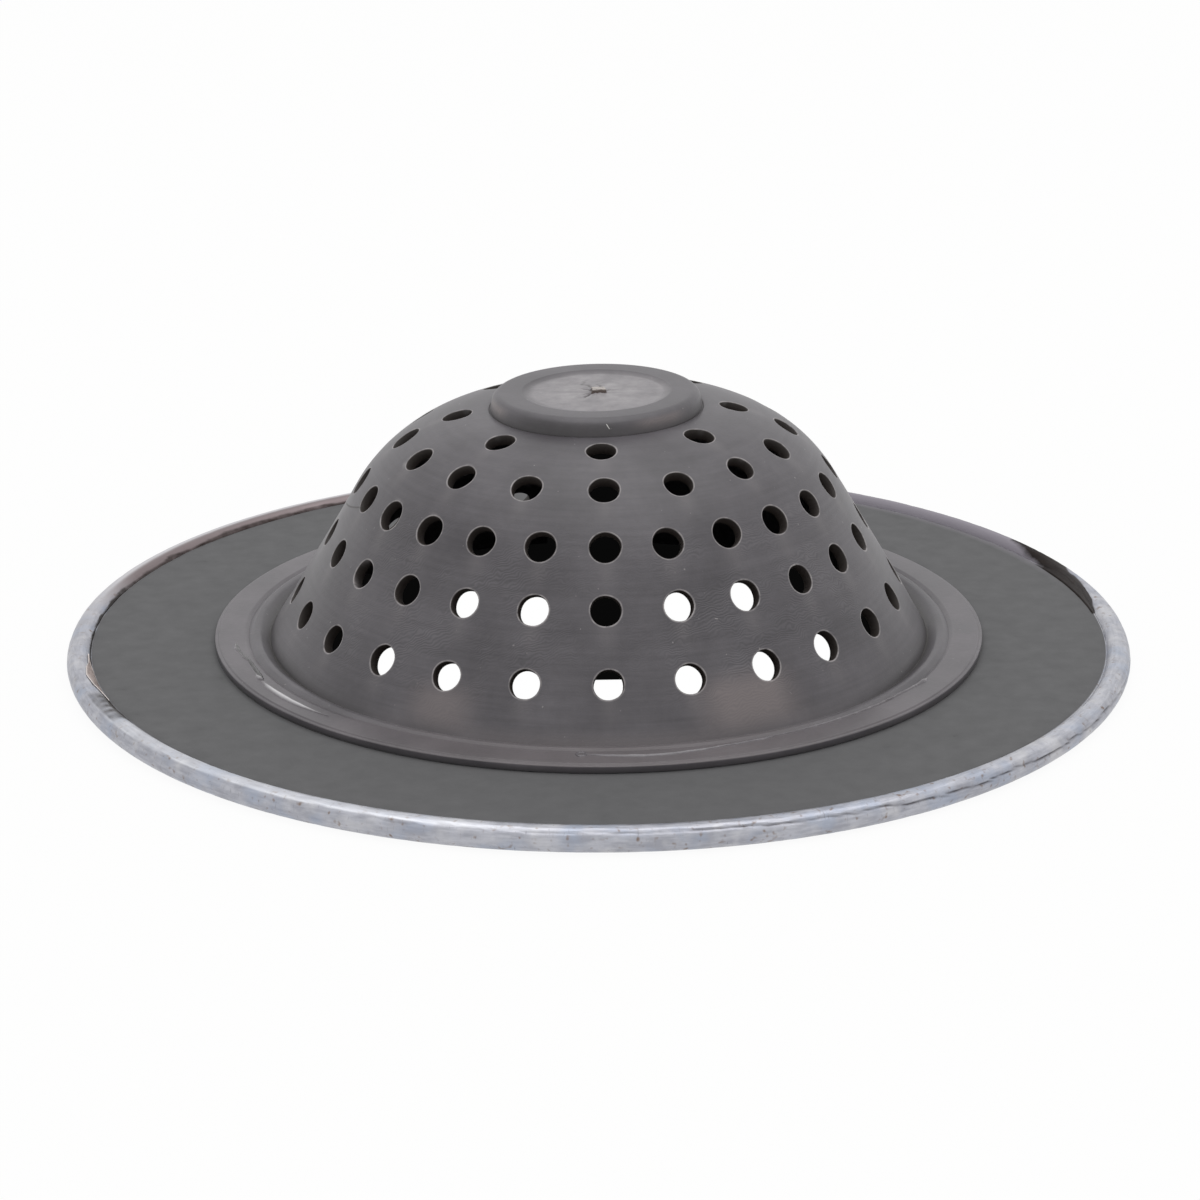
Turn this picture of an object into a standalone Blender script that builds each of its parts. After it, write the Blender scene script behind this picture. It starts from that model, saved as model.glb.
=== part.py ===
# Kitchen sink strainer, lying rim down with its basket up.
# Metres, +Z up. The origin is on the table, under the centre of the part.

import math

import bmesh
import bpy
from mathutils import Matrix

MM = 0.001

# Steel rim: a flat sheet whose outer edge is rolled into a bead, which stands on the table.
# Under the ring and the lip it is pressed a little thinner, towards its hole
RIM_OUTER_RADIUS = 57.0 * MM
SHEET_THICKNESS = 0.5 * MM
BEAD_RADIUS = 1.32 * MM
SHEET_ABOVE_BEAD_CENTRE = 0.43 * MM
BEAD_BEND_RADIUS = 0.5 * MM
EDGE_COINING = 0.05 * MM

# Basket wall, measured on its outer face, from the flat crown down to the foot
CROWN_ABOVE_SHEET = 25.25 * MM
CROWN_INSIDE_PAD = 0.75 * MM
SHOULDER_RADIUS = 17.8 * MM
FOOT_RADIUS = 35.5 * MM
WALL = 1.2 * MM

# Pad in the middle of the crown, with a shallow recess and the stub of the moulding gate
PAD_RADIUS = 11.2 * MM
PAD_HEIGHT = 1.75 * MM
PAD_TAPER = 0.3 * MM
PAD_EDGE_RADIUS = 1.2 * MM
RECESS_RADIUS = 7.8 * MM
RECESS_DEPTH = 0.25 * MM
RECESS_SLOPE = 0.3 * MM
GATE_RADIUS = 0.55 * MM
GATE_HEIGHT = 0.45 * MM

# Collar that passes up through the rim, and the lip that holds the rim from the other side
COLLAR_WIDTH = 2.1 * MM
COLLAR_RISE_WIDTH = 0.9 * MM
COLLAR_ROUNDING = 0.5 * MM
LIP_WIDTH = 2.4 * MM
LIP_THICKNESS = 0.9 * MM
LIP_ROUNDING = 0.35 * MM
MOUTH_ROUNDING = 0.8 * MM

# Ring that closes the joint on the basket's side of the rim
RING_WIDTH = 3.3 * MM
RING_THICKNESS = 0.7 * MM
RING_ROUNDING = 0.3 * MM

# Drain holes, square to the wall: first and last row are set from the pad and from the foot
HOLE_RADIUS = 1.55 * MM
FIRST_ROW_FROM_PAD = 3.45 * MM
LAST_ROW_FROM_FOOT = 6.75 * MM
HOLES_IN_ROW = (8, 16, 24, 24, 24)
ROW_SPREAD = (0.0, 0.228, 0.476, 0.72, 1.0)

# Clearance wherever one piece seats on or passes through another
CLEARANCE = 0.3 * MM

# Facets
RIM_STEPS = 72
BASKET_STEPS = 48
BEAD_SEGMENTS = 11
SHOULDER_SEGMENTS = 6
HOLE_SIDES = 12
FRONT = -math.pi / 2

# Levels and radii that follow from the sizes above
sheet_middle = BEAD_RADIUS + SHEET_ABOVE_BEAD_CENTRE
sheet_top = sheet_middle + SHEET_THICKNESS / 2
sheet_bottom = sheet_middle - SHEET_THICKNESS / 2
ring_bottom = sheet_top + CLEARANCE
ring_top = ring_bottom + RING_THICKNESS
lip_top = sheet_bottom - CLEARANCE
lip_bottom = lip_top - LIP_THICKNESS
crown_top = sheet_top + CROWN_ABOVE_SHEET
pad_top = crown_top + PAD_HEIGHT
recess_floor = pad_top - RECESS_DEPTH
collar_radius = FOOT_RADIUS + COLLAR_WIDTH
rim_hole_radius = collar_radius + CLEARANCE
ring_inner_radius = collar_radius + CLEARANCE
ring_outer_radius = ring_inner_radius + RING_WIDTH
lip_radius = collar_radius + LIP_WIDTH
seat_radius = max(ring_outer_radius, lip_radius) + CLEARANCE

# The shoulder is one arc, and the cone below it runs off it at a tangent, down to the foot
shoulder_centre = (PAD_RADIUS - CROWN_INSIDE_PAD, crown_top - SHOULDER_RADIUS)
to_foot = (FOOT_RADIUS - shoulder_centre[0], sheet_top - shoulder_centre[1])
cone_turn = math.atan2(to_foot[0], to_foot[1]) - math.acos(SHOULDER_RADIUS / math.hypot(*to_foot))
pad_turn = math.asin(CROWN_INSIDE_PAD / SHOULDER_RADIUS)
cone_length = math.sqrt(to_foot[0] ** 2 + to_foot[1] ** 2 - SHOULDER_RADIUS ** 2)


def on_arc(centre, radius, turn):
    """The (r, z) point of an arc, with turn counted from straight up towards the outside."""
    return (centre[0] + radius * math.sin(turn), centre[1] + radius * math.cos(turn))


def arc(centre, radius, start, end, segments):
    return [on_arc(centre, radius, start + (end - start) * i / segments) for i in range(segments + 1)]


def toward(start, end, length):
    """The point at this length from start, on the line to end."""
    share = length / math.hypot(end[0] - start[0], end[1] - start[1])
    return (start[0] + (end[0] - start[0]) * share, start[1] + (end[1] - start[1]) * share)


def rounded(before, corner, after, radius, segments=3):
    """Points of the arc that rounds a corner of a profile."""
    in_turn = math.atan2(before[0] - corner[0], before[1] - corner[1])
    out_turn = math.atan2(after[0] - corner[0], after[1] - corner[1])
    half = ((out_turn - in_turn + math.pi) % (2 * math.pi) - math.pi) / 2
    reach = radius / abs(math.tan(half))
    start = toward(corner, before, reach)
    end = toward(corner, after, reach)
    centre = on_arc(corner, radius / abs(math.sin(half)), in_turn + half)
    first = math.atan2(start[0] - centre[0], start[1] - centre[1])
    last = math.atan2(end[0] - centre[0], end[1] - centre[1])
    sweep = (last - first + math.pi) % (2 * math.pi) - math.pi
    return arc(centre, radius, first, first + sweep, segments)


def wall_place(distance):
    """The (r, z) point and the tilt of the basket's outer face, at this distance from the pad."""
    turn = pad_turn + distance / SHOULDER_RADIUS
    if turn <= cone_turn:
        return on_arc(shoulder_centre, SHOULDER_RADIUS, turn), turn
    start = on_arc(shoulder_centre, SHOULDER_RADIUS, cone_turn)
    down = distance - SHOULDER_RADIUS * (cone_turn - pad_turn)
    return (start[0] + down * math.cos(cone_turn), start[1] - down * math.sin(cone_turn)), cone_turn


def rim_profile():
    """Flat sheet, a small bend down, and a curl round below, outside and above to the raw edge."""
    curl = BEAD_RADIUS - SHEET_THICKNESS / 2
    bead = (RIM_OUTER_RADIUS - BEAD_RADIUS, BEAD_RADIUS)
    bend_height = sheet_middle - BEAD_BEND_RADIUS - bead[1]
    apart = BEAD_BEND_RADIUS + curl
    bend = (bead[0] - math.sqrt(apart ** 2 - bend_height ** 2), bead[1] + bend_height)
    meet = math.atan2(bead[0] - bend[0], bead[1] - bend[1])
    # The curl stops where its raw edge clears the bend by one clearance
    clear = BEAD_BEND_RADIUS + SHEET_THICKNESS / 2 + CLEARANCE
    stop = max(
        math.acos((side ** 2 + apart ** 2 - clear ** 2) / (2 * side * apart))
        for side in (BEAD_RADIUS, BEAD_RADIUS - SHEET_THICKNESS)
    )
    curl_start = meet - math.pi
    curl_end = meet - 3 * math.pi + stop
    bend_upper = arc(bend, BEAD_BEND_RADIUS + SHEET_THICKNESS / 2, 0.0, meet, 2)
    bend_lower = arc(bend, BEAD_BEND_RADIUS - SHEET_THICKNESS / 2, 0.0, meet, 2)
    inside = arc(bead, BEAD_RADIUS - SHEET_THICKNESS, curl_start, curl_end, BEAD_SEGMENTS)
    outside = arc(bead, BEAD_RADIUS, curl_start, curl_end, BEAD_SEGMENTS)
    # Past the ring and the lip the sheet has its full thickness, and both its sides are free
    upper = [(rim_hole_radius, sheet_top - EDGE_COINING), (seat_radius, sheet_top)]
    upper += bend_upper[:-1] + inside
    lower = [(rim_hole_radius, sheet_bottom + EDGE_COINING), (seat_radius, sheet_bottom)]
    lower += bend_lower[:-1] + outside
    return upper + lower[::-1]


def basket_profile():
    """From the axis over the pad, down the outer face, round collar and lip, and up the inside."""
    pad_edge = (PAD_RADIUS - PAD_TAPER, pad_top)
    pad_foot = on_arc(shoulder_centre, SHOULDER_RADIUS, pad_turn)
    recess_edge = (RECESS_RADIUS, pad_top)
    foot = (FOOT_RADIUS, sheet_top)
    collar_inner = (FOOT_RADIUS + COLLAR_RISE_WIDTH, ring_top)
    collar_outer = (collar_radius, ring_top)
    lip_root = (collar_radius, lip_top)
    lip_upper = (lip_radius, lip_top)
    lip_lower = (lip_radius, lip_bottom)
    inner_radius = SHOULDER_RADIUS - WALL
    inner_cone = on_arc(shoulder_centre, inner_radius, cone_turn)
    mouth = (inner_cone[0] + (inner_cone[1] - lip_bottom) / math.tan(cone_turn), lip_bottom)
    points = [
        (0.0, recess_floor + GATE_HEIGHT),
        (GATE_RADIUS, recess_floor + GATE_HEIGHT),
        (GATE_RADIUS, recess_floor),
        (RECESS_RADIUS - RECESS_SLOPE, recess_floor),
        recess_edge,
    ]
    points += rounded(recess_edge, pad_edge, pad_foot, PAD_EDGE_RADIUS)
    points += arc(shoulder_centre, SHOULDER_RADIUS, pad_turn, cone_turn, SHOULDER_SEGMENTS)
    points.append(foot)
    points += rounded(foot, collar_inner, collar_outer, COLLAR_ROUNDING)
    points += [collar_outer, lip_root]
    points += rounded(lip_root, lip_upper, lip_lower, LIP_ROUNDING, 2)
    points += rounded(lip_upper, lip_lower, mouth, LIP_ROUNDING, 2)
    points += rounded(lip_lower, mouth, inner_cone, MOUTH_ROUNDING)
    points += arc(shoulder_centre, inner_radius, cone_turn, 0.0, SHOULDER_SEGMENTS)
    points.append((0.0, crown_top - WALL))
    return points


def ring_profile():
    """A flat band with its outer edges eased, the upper one more than the lower one."""
    inner_top = (ring_inner_radius, ring_top)
    outer_top = (ring_outer_radius, ring_top)
    outer_bottom = (ring_outer_radius, ring_bottom)
    inner_bottom = (ring_inner_radius, ring_bottom)
    points = [inner_top]
    points += rounded(inner_top, outer_top, outer_bottom, RING_ROUNDING)
    points += [outer_bottom, inner_bottom]
    return points


def plain_material(name, colour, roughness, metallic):
    material = bpy.data.materials.new(name)
    material.use_nodes = True
    shader = material.node_tree.nodes["Principled BSDF"]
    shader.inputs["Base Color"].default_value = (*colour, 1.0)
    shader.inputs["Roughness"].default_value = roughness
    shader.inputs["Metallic"].default_value = metallic
    material.diffuse_color = (*colour, 1.0)
    return material


def turned(name, profile, closed, steps, material, collection):
    """A profile in the XZ plane with a Screw modifier, turned so that a facet faces the front."""
    count = len(profile)
    edges = [(i, i + 1) for i in range(count - 1)]
    if closed:
        edges.append((count - 1, 0))
    mesh = bpy.data.meshes.new(name)
    mesh.from_pydata([(r, 0.0, z) for r, z in profile], edges, [])
    mesh.materials.append(material)
    obj = bpy.data.objects.new(name, mesh)
    obj.rotation_euler.z = FRONT + math.pi / steps
    screw = obj.modifiers.new("turn", "SCREW")
    screw.axis = "Z"
    screw.angle = 2 * math.pi
    screw.steps = steps
    screw.render_steps = steps
    screw.use_merge_vertices = True
    screw.merge_threshold = 0.01 * MM
    screw.use_smooth_shade = True
    collection.objects.link(obj)
    return obj


def hole_cutters(collection):
    """One mesh with a cylinder for every drain hole, each square to the wall at its row."""
    pad_to_foot = SHOULDER_RADIUS * (cone_turn - pad_turn) + cone_length
    row_run = pad_to_foot - LAST_ROW_FROM_FOOT - FIRST_ROW_FROM_PAD
    solid = bmesh.new()
    for holes, share in zip(HOLES_IN_ROW, ROW_SPREAD):
        (radius, height), tilt = wall_place(FIRST_ROW_FROM_PAD + row_run * share)
        square = Matrix.Translation((radius, 0.0, height)) @ Matrix.Rotation(tilt, 4, "Y")
        for index in range(holes):
            around = Matrix.Rotation(FRONT + 2 * math.pi * index / holes, 4, "Z")
            bmesh.ops.create_cone(
                solid,
                cap_ends=True,
                segments=HOLE_SIDES,
                radius1=HOLE_RADIUS,
                radius2=HOLE_RADIUS,
                depth=4 * WALL,
                matrix=around @ square,
            )
    mesh = bpy.data.meshes.new("drain_holes")
    solid.to_mesh(mesh)
    solid.free()
    obj = bpy.data.objects.new("drain_holes", mesh)
    obj.hide_render = True
    obj.display_type = "WIRE"
    collection.objects.link(obj)
    return obj


def new_collection(name):
    collection = bpy.data.collections.new(name)
    bpy.context.scene.collection.children.link(collection)
    return collection


def build():
    for obj in list(bpy.data.objects):
        bpy.data.objects.remove(obj, do_unlink=True)
    parts = new_collection("sink_strainer")
    cutters = new_collection("cutters")
    cutters.hide_render = True

    steel = plain_material("stainless_steel", (0.60, 0.62, 0.65), 0.28, 1.0)
    basket_plastic = plain_material("basket_plastic", (0.112, 0.107, 0.119), 0.42, 0.0)
    ring_plastic = plain_material("ring_plastic", (0.150, 0.143, 0.156), 0.45, 0.0)

    rim = turned("steel_rim", rim_profile(), True, RIM_STEPS, steel, parts)
    basket = turned("strainer_basket", basket_profile(), False, BASKET_STEPS, basket_plastic, parts)
    ring = turned("retaining_ring", ring_profile(), True, BASKET_STEPS, ring_plastic, parts)

    drill = basket.modifiers.new("drain_holes", "BOOLEAN")
    drill.operation = "DIFFERENCE"
    drill.solver = "EXACT"
    drill.object = hole_cutters(cutters)

    whole = bpy.data.objects.new("sink_strainer", None)
    whole.empty_display_size = RIM_OUTER_RADIUS
    parts.objects.link(whole)
    for piece in (rim, basket, ring):
        piece.parent = whole


build()
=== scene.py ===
import math
import random
from functools import partial

import bmesh
import bpy
import numpy as np
from mathutils import Matrix, Vector, noise


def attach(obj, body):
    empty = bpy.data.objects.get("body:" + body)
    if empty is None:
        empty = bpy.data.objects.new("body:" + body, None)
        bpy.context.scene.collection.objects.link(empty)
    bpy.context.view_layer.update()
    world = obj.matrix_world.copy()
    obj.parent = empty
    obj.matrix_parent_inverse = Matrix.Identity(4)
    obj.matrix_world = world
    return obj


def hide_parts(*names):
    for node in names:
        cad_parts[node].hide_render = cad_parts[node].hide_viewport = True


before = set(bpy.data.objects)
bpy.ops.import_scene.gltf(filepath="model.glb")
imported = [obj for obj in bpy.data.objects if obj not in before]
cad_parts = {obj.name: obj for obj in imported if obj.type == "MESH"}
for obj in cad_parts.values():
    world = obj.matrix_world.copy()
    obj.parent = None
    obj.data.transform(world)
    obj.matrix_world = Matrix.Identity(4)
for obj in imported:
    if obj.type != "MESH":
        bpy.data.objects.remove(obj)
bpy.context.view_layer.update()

# A kitchen sink strainer lying rim down: plastic basket, joint ring and steel rim. All sizes below are
# millimetres, and mm turns them to metres. Angles are degrees from +X, and -90 faces the camera
mm = 0.001
front = -math.pi / 2
sharpAngle = 40  # edges up to this angle are shaded smooth

scene = bpy.context.scene
scene.view_settings.view_transform = "Standard"


# small helpers

def fromHex(code):
    parts = [int(code[i:i + 2], 16) / 255 for i in (1, 3, 5)]
    linear = [c / 12.92 if c <= 0.04045 else ((c + 0.055) / 1.055) ** 2.4 for c in parts]
    return (*linear, 1.0)


def feed(node, values):
    # each input takes a plain value, a hex colour or the output of another node
    for socket, value in values.items():
        if isinstance(value, bpy.types.NodeSocket):
            node.id_data.links.new(value, node.inputs[socket])
        else:
            node.inputs[socket].default_value = fromHex(value) if isinstance(value, str) else value


def addNode(tree, kind, values=None, give=0, **settings):
    node = tree.nodes.new("ShaderNode" + kind)
    for key, value in settings.items():
        setattr(node, key, value)
    feed(node, values or {})
    return node.outputs[give]


def newMaterial(name, values):
    material = bpy.data.materials.new(name)
    material.use_nodes = True
    shader = material.node_tree.nodes["Principled BSDF"]
    feed(shader, values)
    return material, partial(addNode, material.node_tree), shader


def layOver(add, colour, layers):
    # lays layers over a colour. Each has its share, its tone and, where it isn't plain, its blending
    for share, tone, *blend in layers:
        colour = add("Mix", {0: share, 6: colour, 7: tone}, 2, data_type="RGBA", blend_type=(*blend, "MIX")[0])
    return colour


def leaveEdit():
    bpy.ops.object.mode_set(mode="OBJECT")


def pickNothing():
    if bpy.context.object and bpy.context.object.mode == "EDIT":
        leaveEdit()
    bpy.ops.object.select_all(action="DESELECT")


def pickOnly(piece):
    pickNothing()
    piece.select_set(True)
    bpy.context.view_layer.objects.active = piece


def editOnly(piece, by="EDGE", action="DESELECT"):
    pickOnly(piece)
    bpy.ops.object.mode_set(mode="EDIT")
    bpy.ops.mesh.select_mode(type=by)
    bpy.ops.mesh.select_all(action=action)


def selectWhere(piece, kind, wanted):
    work = bmesh.from_edit_mesh(piece.data)
    for item in getattr(work, kind):
        if wanted(item):
            item.select = True
    bmesh.update_edit_mesh(piece.data)


def joinPieces(first, others):
    pickOnly(first)
    for piece in others:
        piece.select_set(True)
    bpy.ops.object.join()
    return first


def addShape(operator, name, **settings):
    pickNothing()
    operator(**settings)
    piece = bpy.context.object
    piece.name = piece.data.name = name
    return piece


def getPoints(piece):
    points = np.empty(len(piece.data.vertices) * 3)
    piece.data.vertices.foreach_get("co", points)
    return points.reshape(-1, 3) / mm


def getPolar(piece):
    # its points, and their distance from the axis and angle round it
    points = getPoints(piece)
    return points, np.hypot(points[:, 0], points[:, 1]), np.degrees(np.arctan2(points[:, 1], points[:, 0]))


def setPoints(piece, points):
    piece.data.vertices.foreach_set("co", (points * mm).reshape(-1))
    piece.data.update()


def setPolar(piece, radius, degrees, height):
    angle = np.radians(degrees)
    setPoints(piece, np.stack([radius * np.cos(angle), radius * np.sin(angle), height], 1))


def getMask(piece, name):
    values = np.empty(len(piece.data.vertices), np.float32)
    piece.data.attributes[name].data.foreach_get("value", values)
    return values


def setMasks(piece, **masks):
    layers = piece.data.attributes
    for name, values in masks.items():
        layer = layers.get(name) or layers.new(name, "FLOAT", "POINT")
        layer.data.foreach_set("value", np.asarray(values, np.float32))


def wander(x, y, z):
    # soft noise between about -1 and 1 at these places, each given as a column or one number
    return np.array([noise.noise(Vector(spot)) for spot in zip(*np.broadcast_arrays(x, y, z))])


def smooth(low, high, value):
    share = np.clip((value - low) / (high - low), 0, 1)
    return share * share * (3 - 2 * share)


def between(value, start, full, last, end):
    # 1 from full to last, and 0 before start and after end
    return smooth(start, full, value) * smooth(end, last, value)


def bump(angle, middle, half, gain=1):
    # 1 at this angle (degrees) and 0 from half a width on. A gain above 1 widens its top
    away = np.abs((angle - middle + 180) % 360 - 180)
    return np.clip(smooth(half, 0.0, away) * gain, 0, 1)


def softPath(corners, steps=4):
    # corners are (radius, height, fillet): each corner with a fillet becomes an arc
    path = [corners[0][:2]]
    for (*last, _), (*spot, fillet), (*following, _) in zip(corners, corners[1:], corners[2:]):
        if fillet <= 0:
            path.append(tuple(spot))
            continue
        corner = Vector(spot)
        before, after = ((Vector(other) - corner).normalized() for other in (last, following))
        half = before.angle(after) / 2
        middle = corner + (before + after).normalized() * (fillet / math.sin(half))
        start, end = (corner + side * (fillet / math.tan(half)) - middle for side in (before, after))
        turn = start.angle_signed(end)  # clockwise is positive here
        first = math.atan2(start.y, start.x)
        for k in range(steps + 1):
            a = first - turn * k / steps
            path.append((middle.x + fillet * math.cos(a), middle.y + fillet * math.sin(a)))
    return path + [corners[-1][:2]]


def turnLoops(name, path, steps):
    # a circle drawn out loop by loop through the (radius, height) points of a profile
    radius, height = path[0]
    piece = addShape(bpy.ops.mesh.primitive_circle_add, name, vertices=steps, radius=radius * mm,
                     location=(0, 0, height * mm))
    bpy.ops.object.transform_apply(location=True, rotation=True, scale=True)
    editOnly(piece, action="SELECT")
    for nextRadius, nextHeight in path[1:]:
        bpy.ops.mesh.extrude_edges_indiv()
        grow = nextRadius / radius
        bpy.ops.transform.resize(value=(grow, grow, 1), center_override=(0, 0, 0))
        bpy.ops.transform.translate(value=(0, 0, (nextHeight - height) * mm))
        radius, height = nextRadius, nextHeight
    bpy.ops.mesh.select_all(action="SELECT")
    bpy.ops.mesh.remove_doubles(threshold=0.0005 * mm)
    leaveEdit()
    return piece


def closeLoops(piece):
    # bridges the first loop of a turned profile to its last one
    editOnly(piece)
    selectWhere(piece, "edges", lambda edge: edge.is_boundary)
    bpy.ops.mesh.bridge_edge_loops()
    faceOutward(piece)


def faceOutward(piece):
    editOnly(piece, "FACE", "SELECT")
    bpy.ops.mesh.normals_make_consistent(inside=False)
    leaveEdit()


def thicken(piece, thickness, offset=0, **settings):
    pickOnly(piece)
    thick = piece.modifiers.new("thick", "SOLIDIFY")
    thick.thickness, thick.offset = thickness * mm, offset
    for key, value in settings.items():
        setattr(thick, key, value)
    bpy.ops.object.modifier_apply(modifier="thick")


def finishPiece(piece, node, material):
    pickOnly(piece)
    bpy.ops.object.shade_smooth_by_angle(angle=math.radians(sharpAngle))
    piece.data.materials.clear()
    piece.data.materials.append(material)
    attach(piece, "root")
    if node:
        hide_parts(node)
    work = bmesh.new()
    work.from_mesh(piece.data)
    print(piece.name, len(work.faces), "faces, open edges", sum(not edge.is_manifold for edge in work.edges))
    work.free()


# camera, lamp and floor

stage = {
    "distance": 0.400, "elevation": 20.1, "azimuth": -2.06, "roll": -0.15,
    "lens": 110.97, "shift": (0.0011, 0.0402),
    "skyForDiffuse": 0.60, "lampPower": 6.8, "lampSize": 1.5, "lampPlace": (0.08, 0.0, 1.15),
    "floorSize": 12, "floorColour": "#f4f4f2", "floorGlow": 0.93,
    # the dark sheet under the basket is painted shade, and its faint glow paints a dark tone
    "darkSheetColour": "#0c0c0c", "darkSheetGlowColour": "#111111", "darkSheetGlow": 0.45, "cardColour": "#101010",
    "darkSheetRadius": 39.0, "darkSheetAt": 0.02, "cardRadius": 26.3, "cardAt": 0.04,
    # parts of the card's edge, by angle and half width, with what their radius is multiplied by: it is
    # cut back at the left and let out at the right, as seen through the fourth row of holes
    "cardCuts": ((146, 9.5, 0.955), (51, 13, 1.04)),
    # two dark strips, each from and to in x, y and height. One stands up, so that no light spot shows
    # through both walls
    "strips": {"darkSheetStrip": ((-4.0, 5.0), (-9.9, 34.0), (0.06, 0.06)),
               "darkSheetUpright": ((-5.0, 5.5), (22.0, 22.0), (0.1, 16.5))},
}


def addCamera():
    up, side = math.radians(stage["elevation"]), math.radians(stage["azimuth"])
    away = Vector((math.sin(side) * math.cos(up), -math.cos(side) * math.cos(up), math.sin(up)))
    camera = bpy.data.objects.new("camera", bpy.data.cameras.new("camera"))
    scene.collection.objects.link(camera)
    camera.data.lens, camera.data.sensor_width, camera.data.sensor_fit = stage["lens"], 36, "HORIZONTAL"
    camera.data.shift_x, camera.data.shift_y = stage["shift"]
    camera.data.clip_start = 0.01
    look = (-away).to_track_quat("-Z", "Y").to_matrix().to_4x4()
    roll = Matrix.Rotation(math.radians(stage["roll"]), 4, "Z")
    camera.matrix_world = Matrix.Translation(away * stage["distance"]) @ look @ roll
    scene.camera = camera


def seenShare(add):
    # 1 for what the camera, a gloss reflection or glass sees of the surroundings, 0 for their light
    path = add("LightPath").node.outputs
    seen = path["Is Camera Ray"]
    for ray in ("Is Glossy Ray", "Is Transmission Ray"):
        seen = add("Math", {0: seen, 1: path[ray]}, operation="MAXIMUM")
    return seen


def addGlow(add, shader, share):
    # this share of what is seen of a surface is plain white
    mixed = add("MixShader", {0: share, 1: shader.outputs[0], 2: add("Emission", {"Color": "#ffffff"})})
    feed(shader.id_data.nodes["Material Output"], {"Surface": mixed})


def addSky():
    world = scene.world = bpy.data.worlds.new("studio")
    world.use_nodes = True
    add = partial(addNode, world.node_tree)
    strength = add("MapRange", {"Value": seenShare(add), "To Min": stage["skyForDiffuse"]})
    feed(world.node_tree.nodes["Background"], {"Color": "#ffffff", "Strength": strength})


def addLamp():
    light = bpy.data.lights.new("topLamp", "AREA")
    light.energy, light.shape, light.size = stage["lampPower"], "DISK", stage["lampSize"]
    lamp = bpy.data.objects.new("topLamp", light)
    scene.collection.objects.link(lamp)
    lamp.location = stage["lampPlace"]
    lamp.rotation_euler = Vector(stage["lampPlace"]).to_track_quat("Z", "Y").to_euler()


def addFloor():
    floor = addShape(bpy.ops.mesh.primitive_grid_add, "floor", x_subdivisions=4, y_subdivisions=4,
                     size=stage["floorSize"])
    material, add, shader = newMaterial("paleFloor", {
        "Base Color": stage["floorColour"], "Roughness": 0.9, "Specular IOR Level": 0.0})
    addGlow(add, shader, add("Math", {0: seenShare(add), 1: stage["floorGlow"]}, operation="MULTIPLY"))
    floor.data.materials.append(material)


def addCard():
    # under the basket lies a dark sheet, painted shade on the floor inside the foot, with a faint glow that paints
    # its dark tone; on it a round white card with a dark strip to its middle
    def sheet(name, radius, material):
        piece = addShape(bpy.ops.mesh.primitive_circle_add, name, vertices=96, radius=radius * mm,
                         fill_type="NGON")
        piece.data.materials.append(material)
        return piece, *getPolar(piece)

    darkSheet, _, _ = newMaterial("darkSheetAndShade", {
        "Base Color": stage["darkSheetColour"], "Emission Color": stage["darkSheetGlowColour"],
        "Emission Strength": stage["darkSheetGlow"], "Roughness": 1.0, "Specular IOR Level": 0.0})
    card, add, shader = newMaterial("whiteCard", {"Base Color": stage["cardColour"], "Specular IOR Level": 0.0})
    addGlow(add, shader, add("LightPath", give="Is Camera Ray"))
    piece, points, _, _ = sheet("darkSheet", stage["darkSheetRadius"], darkSheet)
    setPoints(piece, points + (0, 0, stage["darkSheetAt"]))
    piece, points, _, degrees = sheet("card", stage["cardRadius"], card)
    for middle, half, factor in stage["cardCuts"]:
        points[np.abs(degrees - middle) < half] *= factor
    setPoints(piece, points + (0, 0, stage["cardAt"]))
    for name, spans in stage["strips"].items():
        piece, points, _, _ = sheet(name, 1.0, darkSheet)
        x, y, _ = points.T > 0
        setPoints(piece, np.stack([np.where(side, *span[::-1]) for side, span in zip((x, y, y), spans)], 1))


addCamera()
addSky()
addLamp()
addFloor()
addCard()
print("camera, lamp and floor stand")


# perforated basket

basket = {
    "steps": 192,  # corners round the axis
    "shoulderRadius": 17.8, "shoulderStart": 10.45, "crownHeight": 27.25,
    "footRadius": 35.5, "footHeight": 2.0, "crease": -0.32, "padRadius": 11.2, "wall": 1.2,
    "holeRadius": 1.55, "holesInRow": (8, 16, 24, 24, 24),
    "rowsAt": (3.45, 9.54, 16.14, 22.65, 30.12),  # run down the wall, from the pad
    "bandFrom": 0.75, "bandTo": 34.5, "sideCuts": 8,
    "ringShares": (0.0, 0.1, 0.28, 0.5, 0.74, 1.0), "edgeRing": 0.2,
    "holeSeed": 7, "holeWander": 0.05, "holeSwell": 0.035, "edgeWave": 0.03, "edgeBevel": 0.10,
    "wallSwell": 0.10, "swellsPerMm": 0.11,  # the soft wall isn't true
    "lean": 0.018, "aside": 0.2,
    # masks, by angle, half width and gain, with the heights where they fade in and out, and strength
    "ripples": ((-124, 40, 1.5), (-54, 42, 1.6)), "rippleHeights": (4.5, 8.0, 17.0, 22.5),
    "fans": (((-65, 13, 1.4), (2.8, 4.4, 6.0, 8.6), 1.0), ((-120, 9, 1.3), (2.8, 4.0, 5.5, 8.0), 0.7)),
    "pressed": (-90, 75, 2.2),  # at the front the collar was pressed flat
}

shoulderCentre = (basket["shoulderStart"], basket["crownHeight"] - basket["shoulderRadius"])
padTurn = math.asin((basket["padRadius"] - basket["shoulderStart"]) / basket["shoulderRadius"])
footRun = (basket["footRadius"] - shoulderCentre[0], basket["footHeight"] - shoulderCentre[1])
coneTurn = math.atan2(*footRun) - math.acos(basket["shoulderRadius"] / math.hypot(*footRun))
arcRun = basket["shoulderRadius"] * (coneTurn - padTurn)


def wallSpot(run, depth=0.0):
    # (radius, height) on the wall at this run from the pad, in mm, and the tilt of its normal
    turn = min(padTurn + run / basket["shoulderRadius"], coneTurn)
    reach = basket["shoulderRadius"] - depth
    down = max(0.0, run - arcRun)
    return (shoulderCentre[0] + reach * math.sin(turn) + down * math.cos(turn),
            shoulderCentre[1] + reach * math.cos(turn) - down * math.sin(turn), turn)


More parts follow.
